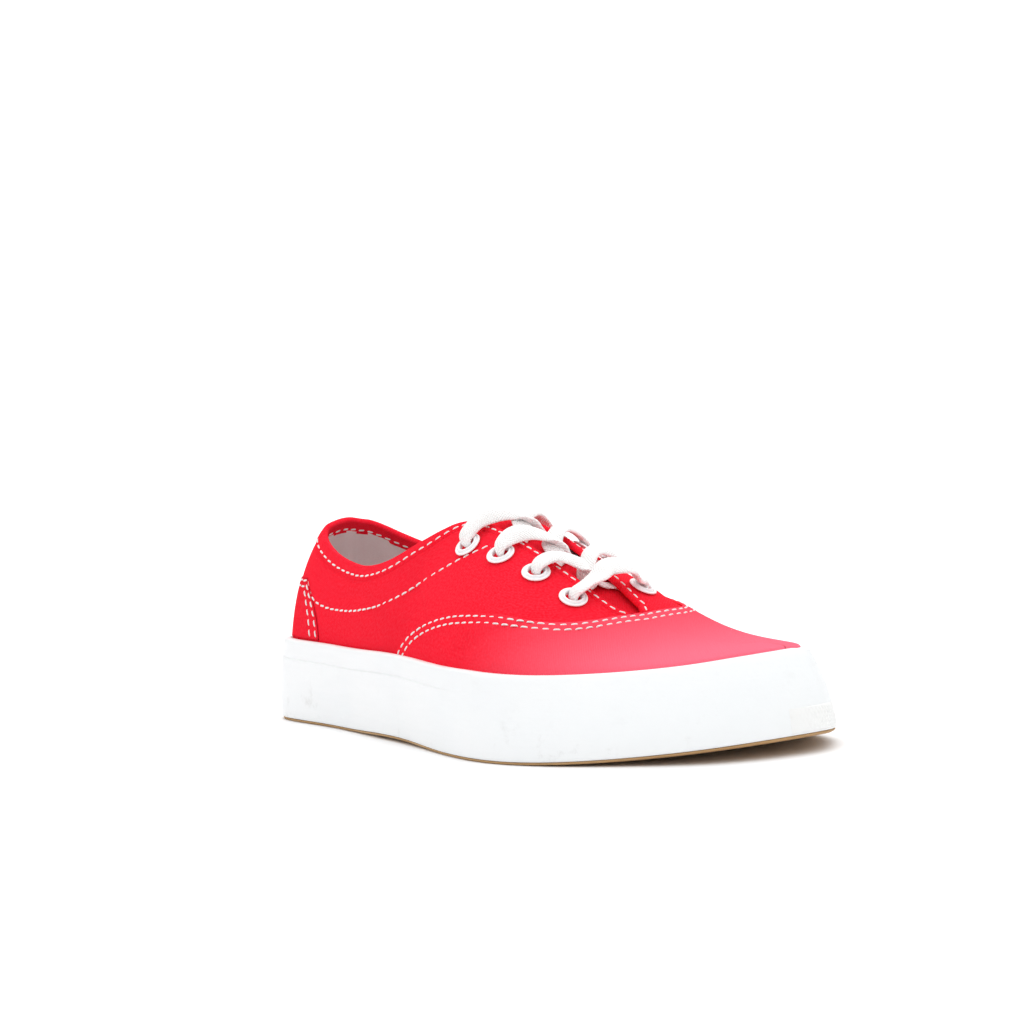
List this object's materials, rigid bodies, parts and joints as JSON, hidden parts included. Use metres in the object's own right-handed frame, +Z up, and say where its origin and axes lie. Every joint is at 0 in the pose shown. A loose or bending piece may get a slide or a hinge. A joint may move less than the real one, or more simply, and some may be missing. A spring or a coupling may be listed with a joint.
{
  "type": "canvas sneaker",
  "caption": "Low-top canvas sneaker, hollow canvas upper on a foxed rubber sole with a gum outsole, open collar and throat, laced through metal eyelets.",
  "frame": {"origin": "on the floor, under the middle of the shoe's bounding box", "axes": "+X from heel to toe, +Y towards the medial (inner) side of this right shoe, +Z up"},
  "size_m": [0.236, 0.0986, 0.0745],
  "materials": {
    "gum_rubber": "matte gum rubber",
    "white_rubber": "satin white rubber",
    "red_canvas": "plain-woven cotton canvas",
    "lining": "soft cotton lining",
    "eyelet_metal": "white enamelled metal",
    "white_cotton": "braided cotton lace"
  },
  "bodies": {
    "root": {"outsole": "gum_rubber", "foxing": "white_rubber", "toe_bumper": "white_rubber", "upper": "red_canvas", "heel_counter": "red_canvas", "tongue": "red_canvas", "insole": "lining", "eyelet_outer_1": "eyelet_metal", "eyelet_inner_1": "eyelet_metal", "eyelet_outer_2": "eyelet_metal", "eyelet_inner_2": "eyelet_metal", "eyelet_outer_3": "eyelet_metal", "eyelet_inner_3": "eyelet_metal", "eyelet_outer_4": "eyelet_metal", "eyelet_inner_4": "eyelet_metal", "lace_bar": "white_cotton", "lace_cross_1": "white_cotton", "lace_cross_2": "white_cotton", "lace_cross_3": "white_cotton"}
  },
  "joints": []
}
